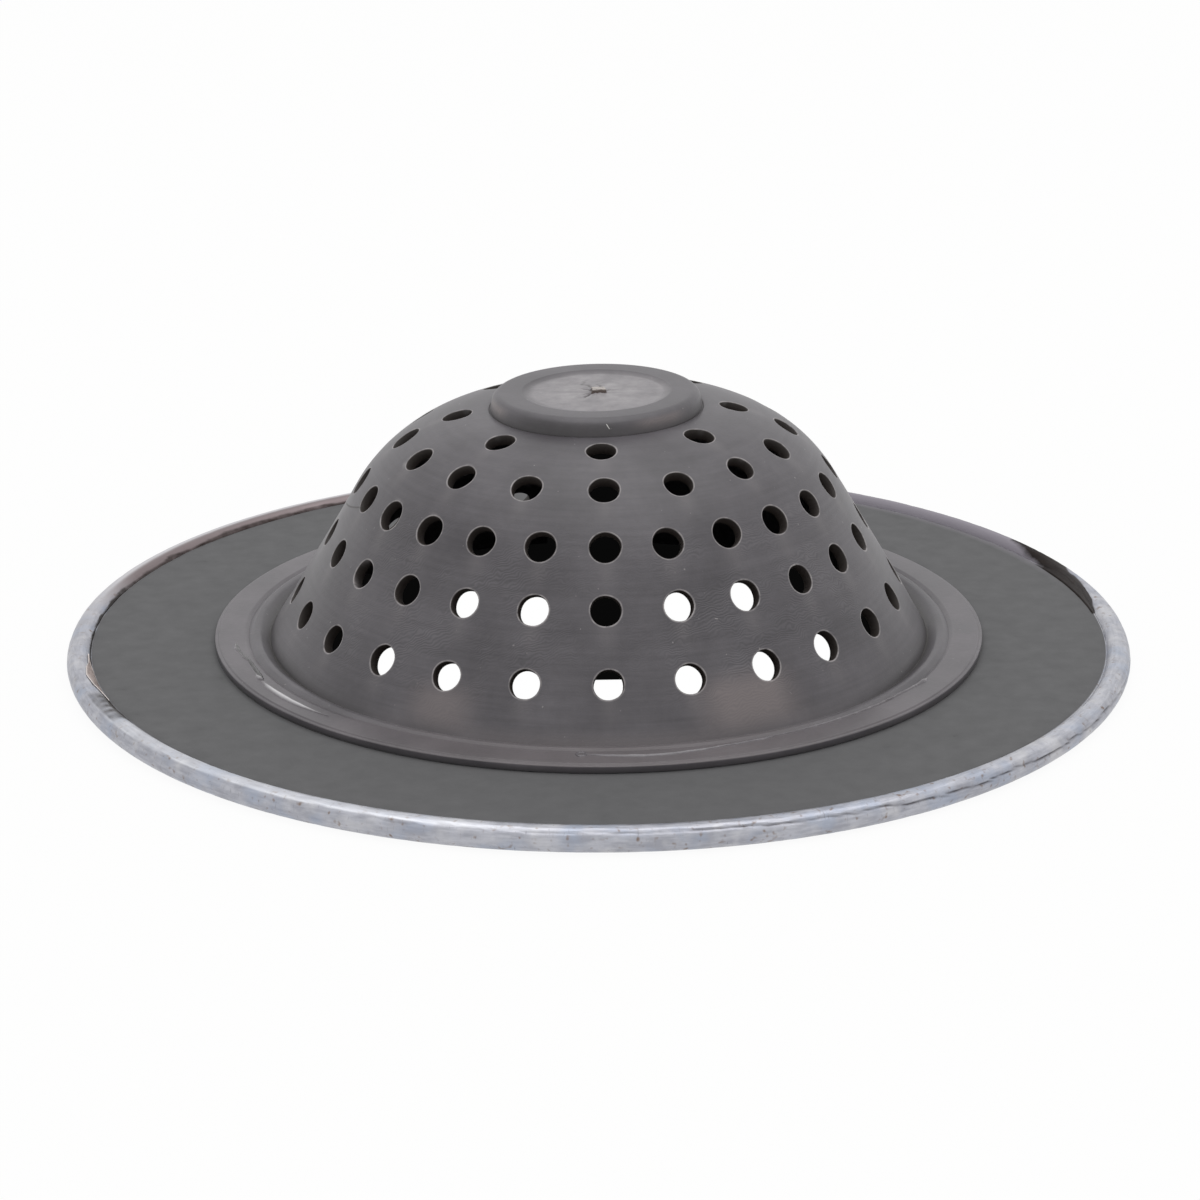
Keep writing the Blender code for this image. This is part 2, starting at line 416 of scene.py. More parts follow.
def holeRow(row):
    # one hole with its share of the wall, drawn out from a circle, then copied round the axis
    count, rows = basket["holesInRow"][row], basket["rowsAt"]
    borders = [basket["bandFrom"], *[(a + b) / 2 for a, b in zip(rows, rows[1:])], basket["bandTo"]]
    top, bottom = borders[row], borders[row + 1]
    across, down = basket["steps"] // count, basket["sideCuts"]
    total = 2 * (across + down)
    half = math.pi / count
    cornersAt = np.cumsum([0, down, across, down, across])

    def spot(k, share):
        phi = 2 * math.pi * k / total
        run = rows[row] - basket["holeRadius"] * math.sin(phi)
        radius = wallSpot(run)[0]
        aside = math.asin(basket["holeRadius"] * math.cos(phi) / radius)
        at = (k + down // 2) % total
        asideGap = np.interp(at, cornersAt, [half, half, -half, -half, half]) - aside
        runGap = np.interp(at, cornersAt, [bottom, top, top, bottom, bottom]) - run
        if share == basket["ringShares"][1]:
            share = basket["edgeRing"] / math.hypot(asideGap * radius, runGap)
        aside += asideGap * share
        radius, height, _ = wallSpot(run + runGap * share)
        return Vector((radius * math.sin(aside), -radius * math.cos(aside), height)) * mm

    cell = addShape(bpy.ops.mesh.primitive_circle_add, "holeRow%d" % row, vertices=total,
                    radius=basket["holeRadius"] * mm)
    editOnly(cell, action="SELECT")
    work = bmesh.from_edit_mesh(cell.data)
    order = work.verts.layers.int.new("order")
    work.verts.layers.float.new("fromHole")
    for vert in work.verts:
        vert[order] = round(math.atan2(vert.co.y, vert.co.x) / (2 * math.pi) * total) % total
    for share in basket["ringShares"]:
        if share > 0:
            bpy.ops.mesh.extrude_edges_indiv()
        work = bmesh.from_edit_mesh(cell.data)
        order, outward = work.verts.layers.int["order"], work.verts.layers.float["fromHole"]
        for vert in work.verts:
            if vert.select:
                vert[outward] = share
                vert.co = spot(vert[order], share)
        bmesh.update_edit_mesh(cell.data)
    bpy.ops.mesh.select_all(action="SELECT")
    bpy.ops.mesh.spin(steps=count - 1, dupli=True, angle=2 * math.pi * (count - 1) / count,
                      center=(0, 0, 0), axis=(0, 0, 1))
    leaveEdit()
    return cell


def holeWave(phi, phases):
    waves = (np.cos((n + 2) * phi + phase) / (n + 1.5) for n, phase in enumerate(phases))
    return basket["edgeWave"] * sum(waves)


def listHoles():
    # each hole's centre and axes (right, up, outward), how far it is off its place (right, up) and how
    # much it swells, and the phases of its waves
    dice, found = random.Random(basket["holeSeed"]), []
    for count, run in zip(basket["holesInRow"], basket["rowsAt"]):
        radius, height, turn = wallSpot(run)
        for k in range(count):
            a = front + 2 * math.pi * k / count
            normal = np.array([math.sin(turn) * math.cos(a), math.sin(turn) * math.sin(a), math.cos(turn)])
            sideways = np.cross([0, 0, 1.0], normal)
            sideways /= np.linalg.norm(sideways)
            drift = [dice.gauss(0, 1) * basket[key] for key in ("holeWander", "holeWander", "holeSwell")]
            found.append((np.array([radius * math.cos(a), radius * math.sin(a), height]),
                          (sideways, np.cross(normal, sideways), normal), drift,
                          [dice.uniform(0, 2 * math.pi) for _ in range(4)]))
    return found


holes = listHoles()


def loosenHoles(shell):
    # each real hole is a little off its place and not quite round
    points, share = getPoints(shell), getMask(shell, "fromHole")
    nearest = np.argmin(((points[:, None] - np.array([hole[0] for hole in holes])) ** 2).sum(2), 1)
    for index, (centre, (sideways, upward, _), (right, up, swell), phases) in enumerate(holes):
        mine = np.where((nearest == index) & (share < 0.99))[0]
        gap = points[mine] - centre
        phi = np.arctan2(gap @ upward, gap @ sideways)
        fade = (1 - share[mine]) ** 2
        out = (swell + holeWave(phi, phases)) * fade
        points[mine] += np.outer(right * fade + out * np.cos(phi), sideways)
        points[mine] += np.outer(up * fade + out * np.sin(phi), upward)
    setPoints(shell, points)


def perforatedBand():
    rows = [holeRow(row) for row in range(len(basket["holesInRow"]))]
    shell = joinPieces(rows[0], rows[1:])
    shell.name = shell.data.name = "basketShell"
    editOnly(shell, action="SELECT")
    bpy.ops.mesh.remove_doubles(threshold=0.002 * mm)
    bpy.ops.mesh.normals_make_consistent(inside=False)
    work = bmesh.from_edit_mesh(shell.data)
    if sum(face.normal.dot(face.calc_center_median()) * face.calc_area() for face in work.faces) < 0:
        bpy.ops.mesh.flip_normals()
    leaveEdit()
    loosenHoles(shell)
    for name in ("outer", "walls"):
        shell.data.materials.append(bpy.data.materials.new(name))
    thicken(shell, basket["wall"], -1, use_even_offset=True, material_offset_rim=1)
    # the wall's two open ends lose their caps again, so that pad and foot can grow on
    ends = [wallSpot(basket[key], basket["wall"] / 2) for key in ("bandFrom", "bandTo")]

    def endCap(face):
        spot = face.calc_center_median() / mm
        reach = math.hypot(spot.x, spot.y)
        return face.material_index == 1 and any(
            abs(reach - radius) < 0.12 and abs(spot.z - height) < 0.12 for radius, height, _ in ends)

    editOnly(shell, "FACE")
    selectWhere(shell, "faces", endCap)
    bpy.ops.mesh.delete(type="ONLY_FACE")
    bpy.ops.mesh.select_all(action="SELECT")
    bpy.ops.mesh.delete_loose(use_verts=False, use_edges=True, use_faces=False)
    # then the rims of all holes are rounded
    bpy.ops.mesh.select_mode(type="EDGE")
    bpy.ops.mesh.select_all(action="DESELECT")
    selectWhere(shell, "edges", lambda edge: edge.is_manifold and edge.calc_face_angle(0.0) > 1.0)
    bpy.ops.mesh.bevel(offset=basket["edgeBevel"] * mm, segments=2, affect="EDGES")
    leaveEdit()
    return shell


pad = {
    "top": 29.0, "taper": 0.3, "edge": 1.05, "brow": 9.0,
    "recessRadius": 7.8, "recessDepth": 0.25, "discRadius": 6.6, "flare": 0.02, "groove": 0.09,
    # torn skin round the gate: each crack has its angle in radians, its reach and its width
    "cracks": ((1.86, 6.6, 0.12), (1.36, 4.6, 0.10), (2.3, 3.0, 0.09), (-2.3, 3.6, 0.10),
               (-2.75, 2.0, 0.08), (0.45, 3.0, 0.08)),
    "crackDepth": 0.14, "ridges": 0.03, "mound": 0.05,
}


def padPath():
    startR, startZ, _ = wallSpot(basket["bandFrom"])
    footR, footZ, _ = wallSpot(0.0)
    low, top, recess = footZ - pad["groove"], pad["top"], pad["recessRadius"]
    path = [(startR, startZ), (footR + 0.24, footZ - 0.005), (footR + 0.14, footZ - 0.03), (footR + 0.08, low)]
    path += softPath([(footR + 0.08, low, 0), (footR + 0.02, low, pad["flare"]),
                      (footR - pad["taper"], top, pad["edge"]), (pad["brow"], top, 0)], 10)[1:]
    floorZ = top - pad["recessDepth"]
    path += softPath([(pad["brow"], top, 0), (recess + 0.1, top, 0.4), (recess - 0.6, floorZ, 0.5),
                      (pad["discRadius"], floorZ, 0)], 5)[1:]
    # fine loops round the gate carry its cracks
    inward = [6.4 - 0.2 * k for k in range(20)] + [2.4 - 0.1 * k for k in range(21)] + [0.3, 0.2, 0.1, 0.0]
    return path + [(r, floorZ) for r in inward]


def addPad():
    piece = turnLoops("pad", padPath(), basket["steps"])
    points, radius, degrees = getPolar(piece)
    angle = np.radians(degrees)
    top = (radius < 7.2) & (points[:, 2] > 28)
    dip = np.zeros(len(points))
    for k, (turn, reach, wide) in enumerate(pad["cracks"]):
        bent = turn + 0.10 * np.sin(radius * 2.3 + k) + 0.05 * np.sin(radius * 6.1 + 2 * k)
        off = np.abs((angle - bent + math.pi) % (2 * math.pi) - math.pi) * np.maximum(radius, 0.25)
        depth = np.exp(-(off / (wide + 0.025 * radius)) ** 2) * smooth(reach, reach * 0.4, radius)
        dip = np.maximum(dip, depth)
    ridge = pad["ridges"] * np.sin(angle * 7 + 1.3) * smooth(2.4, 0.6, radius)
    crack = pad["crackDepth"] * dip * smooth(4.0, 1.5, radius)
    points[:, 2] += top * (ridge - crack + pad["mound"] * smooth(1.6, 0.4, radius))
    setPoints(piece, points)
    rays = 0.5 + 0.5 * np.sin(angle * 9 + 1.1 * np.sin(angle * 4 + 0.5)) * np.sin(angle * 5 + 2.0)
    setMasks(piece, crack=top * dip * smooth(0.3, 0.8, radius) * 0.6, rays=top * rays * smooth(7.0, 2.0, radius))
    return piece


flange = {
    "top": 3.0, "width": 2.1, "bulge": 0.14,
    "lipRadius": 40.0, "lipTop": 1.2, "lipBottom": 0.3, "lipRounding": 0.3, "mouth": 0.8,
}

creaseR = basket["footRadius"] + basket["crease"] / math.tan(coneTurn)
creaseZ = basket["footHeight"] - basket["crease"]


def footPath():
    foot, collar = basket["footRadius"], basket["footRadius"] + flange["width"]
    start = wallSpot(basket["bandTo"])
    end = wallSpot(basket["bandTo"], basket["wall"])
    mouthR = end[0] + (end[1] - flange["lipBottom"]) / math.tan(coneTurn)
    crest = flange["top"] + flange["bulge"]
    # two loops close to the crease keep its dark line narrow
    corners = [(start[0], start[1], 0), (creaseR - 0.25 / math.tan(coneTurn), creaseZ + 0.25, 0),
               (creaseR, creaseZ, 0.03), (creaseR + 0.24, creaseZ + 0.13, 0),
               (foot + 0.95, crest, 0.75), (foot + 1.5, crest, 0.4), (collar, flange["top"] - 0.22, 0.02),
               (collar, flange["lipTop"], 0.1), (flange["lipRadius"], flange["lipTop"], flange["lipRounding"]),
               (flange["lipRadius"], flange["lipBottom"], flange["lipRounding"]),
               (mouthR, flange["lipBottom"], flange["mouth"]), (end[0], end[1], 0)]
    return softPath(corners, 6)


def innerCrownPath():
    path = [wallSpot(basket["bandFrom"] * (1 - k / 3), basket["wall"])[:2] for k in range(4)]
    flat = basket["crownHeight"] - basket["wall"]
    return path + [(r, flat) for r in (10.4, 9.0, 7.0, 5.0, 3.0, 1.5, 0.0)]


def settleCollar(shell):
    # at the front the collar was pressed flat, so that wall, collar and ring run into each other
    points, radius, degrees = getPolar(shell)
    z = points[:, 2]
    share = bump(degrees, *basket["pressed"]) * (z > 1.4) * (radius > 35.0) * (radius < 37.65)
    crease = smooth(35.9, 35.5, radius) * smooth(2.6, 1.8, z)
    z += share * (0.28 * crease - 0.09 * between(radius, 35.9, 36.3, 37.2, 37.6))
    z += 0.19 * share * smooth(37.25, 37.6, radius) * (z > 2.5)
    setPoints(shell, points)


def unevenWall(shell):
    # the soft wall swells and dips by a few hundredths
    points, radius, _ = getPolar(shell)
    shift = wander(*(points * basket["swellsPerMm"]).T) * basket["wallSwell"]
    share = shift * between(radius, 11.8, 15.0, 33.0, 35.0) / np.maximum(radius, 1)
    points[:, :2] += points[:, :2] * share[:, None]
    setPoints(shell, points)


def leanDome(piece):
    # the soft dome stands a little to the left and higher on its right, as in the photo
    points = getPoints(piece)
    x, _, z = points.T
    share = smooth(3.1, 6.5, z)
    z += basket["lean"] * x * share
    x -= basket["aside"] * share
    setPoints(piece, points)


def paintWall(shell):
    # soft masks for the material, first the hole edge with its painted highlight, the hole wall with its painted
    # shade, and the streak below each hole
    points, radius, degrees = getPolar(shell)
    z = points[:, 2]
    edge, wall, streak = np.zeros((3, len(points)))
    for centre, (sideways, upward, normal), (right, up, swell), phases in holes:
        gap = points - centre
        near = np.where((gap ** 2).sum(1) < 36)[0]
        deep = -(gap[near] @ normal)
        x, y = gap[near] @ sideways - right, gap[near] @ upward - up
        past = np.hypot(x, y) - basket["holeRadius"] - swell - holeWave(np.arctan2(y, x), phases)
        skin = smooth(0.75, 0.15, deep)
        edge[near] = np.maximum(edge[near], smooth(0.17, 0.12, past) * skin)
        wall[near] = np.maximum(wall[near], smooth(0.06, 0.02, past) * smooth(0.04, 0.08, deep))
        tail = between(y, -5.2, -2.2, -1.8, -1.2) * np.exp(-(x / 0.9) ** 2) * skin
        streak[near] = np.maximum(streak[near], tail)
    # zones of fine ripples at both sides of the front, and paler fans at its foot
    patchy = smooth(-0.35, 0.25, wander(*(points * 0.32 + (3, 0, 0)).T))
    zones = sum(gain * bump(degrees, middle, half) for middle, half, gain in basket["ripples"])
    ripple = np.clip(zones, 0, 1) * between(z, *basket["rippleHeights"]) * patchy
    paleAndSheen = sum(most * bump(degrees, *side) * between(z, *span) for side, span, most in basket["fans"])
    # painted shade: the crease at the foot is darkened except at the front, and the front of the pad's side is
    # darkened
    gap = np.hypot(radius - creaseR, z - creaseZ)
    creaseShade = 1.4 * smooth(0.48, 0.1, gap) * (1 - 0.85 * bump(degrees, *basket["pressed"]))
    padSide = (radius > 10.0) * (radius < 11.35) * between(z, 27.2, 27.5, 28.3, 28.8)
    shaded = 0.36 * padSide * bump(degrees, -108, 48, 2)
    # painted highlights on the pad's side, at its right and its left edge
    paleAndSheen += padSide * (0.75 * bump(degrees, -54, 24, 1.5) + bump(degrees, -165, 20, 1.5))
    paleAndSheen += 0.4 * bump(degrees, -90, 60) * (radius > 34.5) * (radius < 37.7) * (z > 1.4)
    # painted shade: a dark line in the groove at the pad's foot
    off = np.abs(radius - wallSpot(0.0)[0] - 0.05)
    padFootShade = 0.55 * smooth(0.15, 0.08, off) * (np.abs(z - 27.2) < 0.13)
    # the crack mask carries the pad's cracks and also this painted shade
    dark = np.maximum(getMask(shell, "crack"), 0.7 * creaseShade + shaded + padFootShade)
    setMasks(shell, crack=dark, rippleZone=ripple, rubbed=paleAndSheen, holeEdge=edge, holeWall=wall, holeStreak=streak)


def buildBasket():
    shell = perforatedBand()
    print("perforated wall", len(shell.data.polygons))
    joinPieces(shell, [addPad(), turnLoops("foot", footPath(), basket["steps"]),
                       turnLoops("innerCrown", innerCrownPath(), basket["steps"])])
    editOnly(shell)
    selectWhere(shell, "edges", lambda edge: edge.is_boundary)
    bpy.ops.mesh.remove_doubles(threshold=0.1 * mm)
    faceOutward(shell)
    unevenWall(shell)
    settleCollar(shell)
    paintWall(shell)
    leanDome(shell)
    return shell


# joint ring and the flash along its seam

ringBand = {
    "steps": 240, "inner": 37.59, "outer": 41.2, "bottom": 2.02, "top": 3.0, "step": 0.14, "edge": 0.15,
    "dip": 0.02, "waves": ((5, 0.4, 0.02), (11, 2.0, 0.015)),  # how many round, phase and depth
}


def buildRing():
    inner, outer, top, bottom = (ringBand[key] for key in ("inner", "outer", "top", "bottom"))
    stepZ = top - ringBand["step"]
    corners = [(inner, bottom + 0.05, 0), (inner, top - 0.22, 0), (inner + 0.42, top, 0.36),
               (outer - 0.42, top, 0.08), (outer - 0.30, stepZ, 0.05), (outer, stepZ - 0.03, ringBand["edge"]),
               (outer - 0.06, bottom, 0.1), (inner, bottom, 0)]
    ring = turnLoops("ringBand", softPath(corners, 4), ringBand["steps"])
    closeLoops(ring)
    points, radius, degrees = getPolar(ring)
    z = points[:, 2]
    wave = sum(depth * np.sin(np.radians(degrees) * count + phase) for count, phase, depth in ringBand["waves"])
    z -= smooth(2.6, 2.95, z) * smooth(37.7, 38.6, radius) * (ringBand["dip"] + np.abs(wave))
    z += 0.19 * bump(degrees, *basket["pressed"]) * smooth(38.0, 37.6, radius) * (z > 2.5)
    setPoints(ring, points)
    # painted shade on the ring's outer side, under the overhang of its edge
    setMasks(ring, sideWall=(radius > outer - 0.12) * smooth(2.62, 2.48, z),
             rubbed=0.45 * bump(degrees, -90, 75) * (z > 2.7))
    return ring


flash = {
    "stub": (1.7, 1.3, 0.5), "stubFrom": 28.68, "stubTop": 29.16, "stubAside": (0.26, 0.2, 0), "stubTurn": 7,
    "sink": 0.05, "skin": 0.06,
    "bubbleAt": -94.6, "bubbleRadius": 38.5, "bubble": (0.46, 0.13),
    # strips of squeezed-out plastic: cuts, raggedness, seed, strength of the painted highlight along the crest and
    # of the shade, and then spots, which are (angle, radius, half width, height)
    "strips": (
        ("sliver", 90, 0.08, 1.0, 0.9, 0.0,
         ((-155, 39.05, 0.10, 0.04), (-152, 39.22, 0.34, 0.16), (-147, 39.28, 0.42, 0.20),
          (-143, 39.24, 0.32, 0.17), (-139.5, 39.12, 0.12, 0.08), (-136.5, 39.0, 0.03, 0.03))),
        ("jag", 90, 0.45, 2.0, 0.0, 4.0,
         ((-166, 38.35, 0.05, 0.02), (-163.5, 38.45, 0.20, 0.05), (-160.5, 38.55, 0.26, 0.05),
          (-158.5, 38.62, 0.22, 0.06), (-156.8, 38.75, 0.28, 0.08), (-156, 38.85, 0.05, 0.04))),
        ("jagEnd", 40, 0.3, 3.0, 0.3, 0.6,
         ((-158.2, 39.0, 0.05, 0.03), (-157.0, 38.98, 0.26, 0.12), (-156.0, 38.95, 0.34, 0.16),
          (-155.3, 38.9, 0.05, 0.05))),
        ("fold", 70, 0.6, 4.0, 0.0, 2.0,
         ((-173, 39.0, 0.05, 0.02), (-170.5, 39.1, 0.26, 0.05), (-168, 38.9, 0.16, 0.04),
          (-166, 38.7, 0.24, 0.05), (-164, 38.5, 0.16, 0.04), (-162.5, 38.45, 0.05, 0.02))),
        ("ridge", 160, 0.35, 7.0, 0.22, 0.0,
         ((-94.5, 38.5, 0.05, 0.03), (-91, 38.7, 0.20, 0.07), (-86, 39.05, 0.24, 0.09),
          (-82, 38.95, 0.22, 0.08), (-78, 38.7, 0.20, 0.08), (-72, 38.2, 0.16, 0.06), (-65, 37.9, 0.16, 0.06))),
        ("seamRidge", 110, 0.12, 8.0, 0.1, 1.2,
         ((-66, 37.85, 0.05, 0.03), (-58, 37.7, 0.14, 0.06), (-50, 37.65, 0.18, 0.09),
          (-43, 37.7, 0.16, 0.07), (-37, 37.6, 0.05, 0.02))),
        ("nick", 80, 0.4, 11.0, 0.1, 0.6,
         ((-42, 37.7, 0.05, 0.03), (-37, 37.8, 0.20, 0.10), (-33, 38.0, 0.18, 0.09),
          (-30.6, 38.15, 0.34, 0.16), (-29.4, 38.25, 0.05, 0.04)))),
}


def buildStub():
    # the torn-off end of the moulding gate, in the middle of the pad
    stub = addShape(bpy.ops.mesh.primitive_cube_add, "gateStub", size=1)
    editOnly(stub, action="SELECT")
    bpy.ops.mesh.subdivide(number_cuts=7)
    leaveEdit()
    long, wide, high = flash["stub"]
    points = getPoints(stub) * mm
    x, y, z = points.T
    top = z + 0.5
    x *= long * (1 - 0.22 * top)
    y *= wide * (1 - 0.22 * top)
    z[:] = flash["stubFrom"] + top * (high + 0.12 * wander(x * 2.1, y * 3.3, 1.7))
    for axis in (0, 1):
        points[:, axis] += 0.05 * wander(*(points * 3.7 + (axis * 9, 0, 0)).T)
    turn = math.radians(flash["stubTurn"])
    c, s = math.cos(turn), math.sin(turn)
    points[:, :2] = points[:, :2] @ np.array([[c, s], [-s, c]])
    points += flash["stubAside"]
    z[:] = np.minimum(z, flash["stubTop"])
    setPoints(stub, points)
    # painted shade: the stub's sides, below its top, are painted darker
    setMasks(stub, lowPart=smooth(0.9, 0.7, top))
    pickOnly(stub)
    soften = stub.modifiers.new("soft", "SUBSURF")
    soften.levels = soften.render_levels = 1
    bpy.ops.object.modifier_apply(modifier="soft")
    faceOutward(stub)
    leanDome(stub)
    return stub


def gridStrip(name, cuts, rows, spots):
    # a flat grid for a thin skin, with its points' share of the length, their place across (-1 to 1),
    # and the columns of the spots spread over them
    strip = addShape(bpy.ops.mesh.primitive_grid_add, name, x_subdivisions=cuts, y_subdivisions=rows, size=2)
    points = getPoints(strip) * mm
    share = (points[:, 0] + 1) / 2
    at = np.linspace(0, 1, len(spots))
    return strip, share, points[:, 1], [np.interp(share, at, column) for column in zip(*spots)]


def flashStrip(name, cuts, ragged, seed, shine, shade, spots):
    strip, share, across, (angle, radius, half, high) = gridStrip(name, cuts, 8, spots)
    side = np.sign(across)
    wave = wander(angle * 0.35, side * 1.3, seed) + 0.5 * wander(angle * 1.1, side * 2.3, seed + 5)
    half = np.maximum(half * (1 + ragged * wave), 0.01)
    lift = 1 + ragged * wander(angle * 0.5, across * 1.2, seed + 9)
    arch = 1 - across ** 2
    height = ringBand["top"] - flash["sink"] + (high + flash["sink"]) * arch * lift
    setPolar(strip, radius + across * half, angle, height)
    low = np.clip(shade * smooth(0.4 * shade, -0.9, across), 0, 1)
    # a painted highlight along the crest, and a dark line along the inner edge
    setMasks(strip, shine=shine * arch ** 2 * between(share, 0, 0.3, 0.6, 1),
             lowPart=low * between(share, 0, 0.15, 0.85, 1))
    thicken(strip, flash["skin"])
    faceOutward(strip)
    return strip


def buildFlash():
    strips = [flashStrip(*row) for row in flash["strips"]]
    # a small burst bubble in front of the ridge
    large, small = flash["bubble"]
    bubble = addShape(bpy.ops.mesh.primitive_torus_add, "bubble", major_segments=36, minor_segments=12,
                      major_radius=large * mm, minor_radius=small * mm)
    points = getPoints(bubble)
    points *= (1 + 0.25 * wander(*(points * 2.2).T))[:, None] * (1, 1, 0.9)
    turn, away = math.radians(flash["bubbleAt"]), flash["bubbleRadius"]
    setPoints(bubble, points + (away * math.cos(turn), away * math.sin(turn), ringBand["top"] - 0.03))
    whole = joinPieces(strips[0], strips[1:] + [bubble])
    whole.name = whole.data.name = "jointFlash"
    return whole


# steel rim

rim = {
    "steps": 480, "hole": 37.9, "seat": 41.5, "outer": 56.94, "sheet": 0.5, "middle": 1.75,
    "bead": 1.32, "bend": 0.5, "coining": 0.05, "gap": 0.02, "curlCuts": 40,
    "ridgeTurn": 35.0, "facetDip": 0.05, "foldDip": 0.14, "dentDip": 0.04,
    # how far up the bead the brown stain and painted shade reach (0 is its top, -90 its inner side), by angle
    "stainAndShadeLimit": ((-180, -58), (-172, -50), (-166, -30), (-161, -45), (-157, -22), (-150, -72), (-142, -95),
                   (-20, -95), (0, -95), (1.7, -76), (5, -50), (8.8, -28), (13, -8), (17, 9), (19, 36), (22, 90),
                   (29, 90), (31, -95), (95, -95), (104, -52), (140, -42), (170, -50), (180, -58)),
    # a torn flap of the raw edge: angle, turn of its middle round the bead, half width of that turn
    "burr": ((-174, -46, 2), (-171, -46, 6), (-169, -42, 21), (-166.5, -40, 31), (-163.5, -45, 26),
             (-161.3, -52, 13), (-159.5, -58, 4)),
    "burrSheet": 0.06, "burrLift": 0.05,
}

beadCentre = (rim["outer"] - rim["bead"], rim["bead"])


def onArc(centre, radius, turn):
    return centre[0] + radius * math.sin(turn), centre[1] + radius * math.cos(turn)


def rimPath():
    # flat sheet, small bend down, then a curl below, outside and above, to the raw edge
    half = rim["sheet"] / 2
    bendLow = rim["middle"] - rim["bend"] - beadCentre[1]
    apart = rim["bend"] + rim["bead"] - half
    bendCentre = (beadCentre[0] - math.sqrt(apart ** 2 - bendLow ** 2), beadCentre[1] + bendLow)
    meet = math.atan2(beadCentre[0] - bendCentre[0], beadCentre[1] - bendCentre[1])
    clear = rim["bend"] + half + rim["gap"]
    stop = max(math.acos((side ** 2 + apart ** 2 - clear ** 2) / (2 * side * apart))
               for side in (rim["bead"], rim["bead"] - rim["sheet"]))
    first, last = meet - math.pi, meet - 3 * math.pi + stop
    turns = [first + (last - first) * k / rim["curlCuts"] for k in range(rim["curlCuts"] + 1)]
    faces = []
    for side, curl in ((half, rim["bead"] - rim["sheet"]), (-half, rim["bead"])):
        coined = side - math.copysign(rim["coining"], side)
        face = [(rim["hole"], rim["middle"] + coined)]
        face += [(r, rim["middle"] + side) for r in (rim["seat"], 44.0, 46.5, 49.0, 51.5, 52.9, 53.2)]
        face += [onArc(bendCentre, rim["bend"] + side, meet * k / 6) for k in range(6)]
        faces.append(face + [onArc(beadCentre, curl, turn) for turn in turns])
    return faces[0] + faces[1][::-1]


